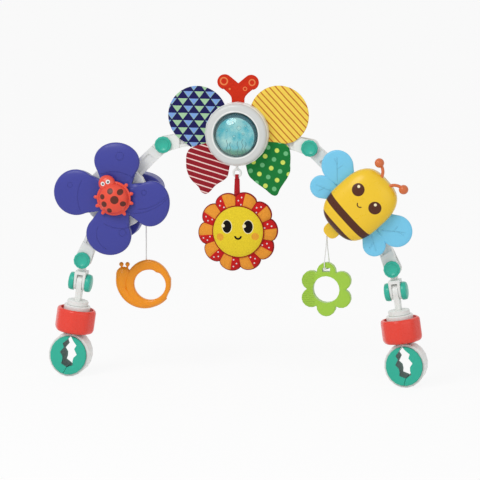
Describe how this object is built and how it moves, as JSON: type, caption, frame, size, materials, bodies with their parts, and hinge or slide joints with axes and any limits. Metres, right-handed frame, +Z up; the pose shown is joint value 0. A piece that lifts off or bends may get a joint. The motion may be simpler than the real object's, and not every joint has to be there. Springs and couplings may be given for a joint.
{
  "type": "stroller toy arch",
  "caption": "Folding white arch on two screw clamps for a stroller or cot, with a spinning flower, a domed hub with cloth wings, a hanging sun, a bee and a teether.",
  "frame": {"origin": "middle of the left clamp's gripping gap", "axes": "+X from the left clamp to the right clamp, +Z up, -Y towards the child's side, which the flower, hub and bee face"},
  "size_m": [0.5011, 0.0763, 0.4051],
  "materials": {
    "white_plastic": "satin",
    "teal_plastic": "satin",
    "teal_rubber": "soft matt",
    "coral_plastic": "satin",
    "grey_plastic": "matt",
    "purple_plastic": "satin",
    "red_plastic": "satin",
    "orange_plastic": "satin",
    "green_plastic": "satin",
    "yellow_plastic": "satin",
    "blue_plastic": "satin",
    "feeler_plastic": "satin",
    "clear_plastic": "clear gloss",
    "picture_card": "printed",
    "spring_steel": "brushed",
    "navy_cloth": "printed woven cloth",
    "yellow_cloth": "printed woven cloth",
    "red_cloth": "printed woven cloth",
    "green_cloth": "printed woven cloth",
    "coral_felt": "felt",
    "sun_cloth": "short plush",
    "face_cloth": "short plush",
    "red_ribbon": "woven ribbon",
    "grey_cord": "braided cord"
  },
  "bodies": {
    "left_clamp": {"left_clamp_neck": "white_plastic", "left_neck_cap": "white_plastic"},
    "left_nut": {"left_clamp_nut": "coral_plastic"},
    "left_collar": {"left_clamp_collar": "grey_plastic"},
    "left_jaw_outer": {"left_jaw_outer_shell": "white_plastic", "left_jaw_outer_pad": "teal_rubber"},
    "left_jaw_inner": {"left_jaw_inner_shell": "white_plastic", "left_jaw_inner_pad": "teal_rubber"},
    "left_swivel_stem": {"left_stem": "white_plastic"},
    "left_hinge_link": {"left_link": "white_plastic", "left_tilt_bolt": "teal_plastic", "left_tilt_cap": "teal_plastic"},
    "left_bow": {"left_arm": "white_plastic", "left_lower_knob": "teal_plastic", "flower_base": "white_plastic", "rear_casing": "white_plastic", "casing_cover": "white_plastic", "reel_spring": "spring_steel"},
    "flower": {"flower_rotor": "purple_plastic", "ladybird": "red_plastic", "spindle": "grey_plastic"},
    "reel": {"cord_reel": "grey_plastic"},
    "snail_line": {"snail_cord": "grey_cord"},
    "snail": {"snail_ring": "orange_plastic"},
    "centre": {"centre_beam": "white_plastic", "left_upper_knob": "teal_plastic", "hub_housing": "white_plastic", "hub_bezel": "white_plastic", "dome_lens": "clear_plastic", "picture_disc": "picture_card", "wing_upper_left": "navy_cloth", "wing_upper_right": "yellow_cloth", "wing_lower_left": "red_cloth", "wing_lower_right": "green_cloth", "antennae_felt": "coral_felt"},
    "ribbon": {"sun_ribbon": "red_ribbon"},
    "sun": {"sun_body": "sun_cloth", "sun_face": "face_cloth"},
    "right_bow": {"right_arm": "white_plastic", "right_upper_knob": "teal_plastic", "bee_front": "yellow_plastic", "bee_back": "yellow_plastic", "bee_wings": "blue_plastic", "bee_antennae": "feeler_plastic"},
    "teething_toy": {"teether": "green_plastic", "teether_cord": "grey_cord"},
    "right_hinge_link": {"right_link": "white_plastic", "right_tilt_bolt": "teal_plastic", "right_tilt_cap": "teal_plastic", "right_lower_knob": "teal_plastic"},
    "right_swivel_stem": {"right_stem": "white_plastic"},
    "right_clamp": {"right_clamp_neck": "white_plastic", "right_neck_cap": "white_plastic"},
    "right_nut": {"right_clamp_nut": "coral_plastic"},
    "right_collar": {"right_clamp_collar": "grey_plastic"},
    "right_jaw_outer": {"right_jaw_outer_shell": "white_plastic", "right_jaw_outer_pad": "teal_rubber"},
    "right_jaw_inner": {"right_jaw_inner_shell": "white_plastic", "right_jaw_inner_pad": "teal_rubber"}
  },
  "joints": [
    {"name": "left_nut_turn", "type": "hinge", "parent": "left_clamp", "child": "left_nut", "pos_m": [0, 0, 0], "axis": [0.1397, 0, 0.9902], "range_deg": [0, 540]},
    {"name": "left_collar_travel", "type": "slide", "parent": "left_clamp", "child": "left_collar", "axis": [0.1397, 0, 0.9902], "range_m": [0, 0.003]},
    {"name": "left_jaw_outer_pivot", "type": "hinge", "parent": "left_clamp", "child": "left_jaw_outer", "pos_m": [0.00475, 0, 0.03367], "axis": [0, 1, 0], "range_deg": [0, 15]},
    {"name": "left_jaw_inner_pivot", "type": "hinge", "parent": "left_clamp", "child": "left_jaw_inner", "pos_m": [0.00475, 0, 0.03367], "axis": [0, -1, 0], "range_deg": [0, 15]},
    {"name": "left_swivel", "type": "hinge", "parent": "left_clamp", "child": "left_swivel_stem", "pos_m": [0, 0, 0], "axis": [0.1397, 0, 0.9902], "range_deg": [-90, 90]},
    {"name": "left_tilt", "type": "hinge", "parent": "left_swivel_stem", "child": "left_hinge_link", "pos_m": [0.01352, 0, 0.0958], "axis": [0.9902, 0, -0.1397], "range_deg": [-60, 60]},
    {"name": "left_lower_fold", "type": "hinge", "parent": "left_hinge_link", "child": "left_bow", "pos_m": [0.01778, 0, 0.12605], "axis": [0, 1, 0], "range_deg": [-40, 30]},
    {"name": "flower_spin", "type": "hinge", "parent": "left_bow", "child": "flower", "pos_m": [0.06537, 0, 0.21284], "axis": [0, 1, 0], "continuous": true},
    {"name": "snail_pull", "type": "slide", "parent": "left_bow", "child": "snail_line", "axis": [0, 0, -1], "range_m": [0, 0.03], "stiffness_N_per_m": 15, "springref_m": -0.03},
    {"name": "reel_turn", "type": "hinge", "parent": "left_bow", "child": "reel", "pos_m": [0.06537, 0, 0.21284], "axis": [0, 1, 0], "range_deg": [0, 52]},
    {"name": "snail_swing", "type": "hinge", "parent": "snail_line", "child": "snail", "pos_m": [0.09887, 0.016, 0.12484], "axis": [0, 1, 0], "range_deg": [-30, 30]},
    {"name": "left_upper_fold", "type": "hinge", "parent": "left_bow", "child": "centre", "pos_m": [0.12683, 0, 0.28213], "axis": [0, 1, 0], "range_deg": [-50, 20]},
    {"name": "ribbon_swing", "type": "hinge", "parent": "centre", "child": "ribbon", "pos_m": [0.22643, -0.016, 0.24353], "axis": [1, 0, 0], "range_deg": [-35, 35]},
    {"name": "sun_sway", "type": "hinge", "parent": "ribbon", "child": "sun", "pos_m": [0.22643, -0.016, 0.22213], "axis": [0, 1, 0], "range_deg": [-12, 12]},
    {"name": "right_upper_fold", "type": "hinge", "parent": "centre", "child": "right_bow", "pos_m": [0.32083, 0, 0.28213], "axis": [0, -1, 0], "range_deg": [-20, 50]},
    {"name": "teether_swing", "type": "hinge", "parent": "right_bow", "child": "teething_toy", "pos_m": [0.34519, -0.017, 0.16905], "axis": [0, 1, 0], "range_deg": [-20, 25]},
    {"name": "right_lower_fold", "type": "hinge", "parent": "right_bow", "child": "right_hinge_link", "pos_m": [0.42987, 0, 0.12605], "axis": [0, -1, 0], "range_deg": [-30, 40]},
    {"name": "right_tilt", "type": "hinge", "parent": "right_hinge_link", "child": "right_swivel_stem", "pos_m": [0.43414, 0, 0.0958], "axis": [0.9902, 0, 0.1397], "range_deg": [-60, 60]},
    {"name": "right_swivel", "type": "hinge", "parent": "right_swivel_stem", "child": "right_clamp", "pos_m": [0.44766, 0, 0], "axis": [-0.1397, 0, 0.9902], "range_deg": [-90, 90]},
    {"name": "right_nut_turn", "type": "hinge", "parent": "right_clamp", "child": "right_nut", "pos_m": [0.44766, 0, 0], "axis": [-0.1397, 0, 0.9902], "range_deg": [0, 540]},
    {"name": "right_collar_travel", "type": "slide", "parent": "right_clamp", "child": "right_collar", "axis": [-0.1397, 0, 0.9902], "range_m": [0, 0.003]},
    {"name": "right_jaw_outer_pivot", "type": "hinge", "parent": "right_clamp", "child": "right_jaw_outer", "pos_m": [0.44291, 0, 0.03367], "axis": [0, -1, 0], "range_deg": [0, 15]},
    {"name": "right_jaw_inner_pivot", "type": "hinge", "parent": "right_clamp", "child": "right_jaw_inner", "pos_m": [0.44291, 0, 0.03367], "axis": [0, 1, 0], "range_deg": [0, 15]}
  ],
  "couplings": [
    {"joint": "left_collar_travel", "follows": "left_nut_turn", "m_per_rad": 0.000318},
    {"joint": "left_jaw_outer_pivot", "follows": "left_nut_turn", "ratio": 0.02777},
    {"joint": "left_jaw_inner_pivot", "follows": "left_nut_turn", "ratio": 0.02777},
    {"joint": "right_collar_travel", "follows": "right_nut_turn", "m_per_rad": 0.000318},
    {"joint": "right_jaw_outer_pivot", "follows": "right_nut_turn", "ratio": 0.02777},
    {"joint": "right_jaw_inner_pivot", "follows": "right_nut_turn", "ratio": 0.02777},
    {"joint": "reel_turn", "follows": "snail_pull", "rad_per_m": 29.85}
  ]
}
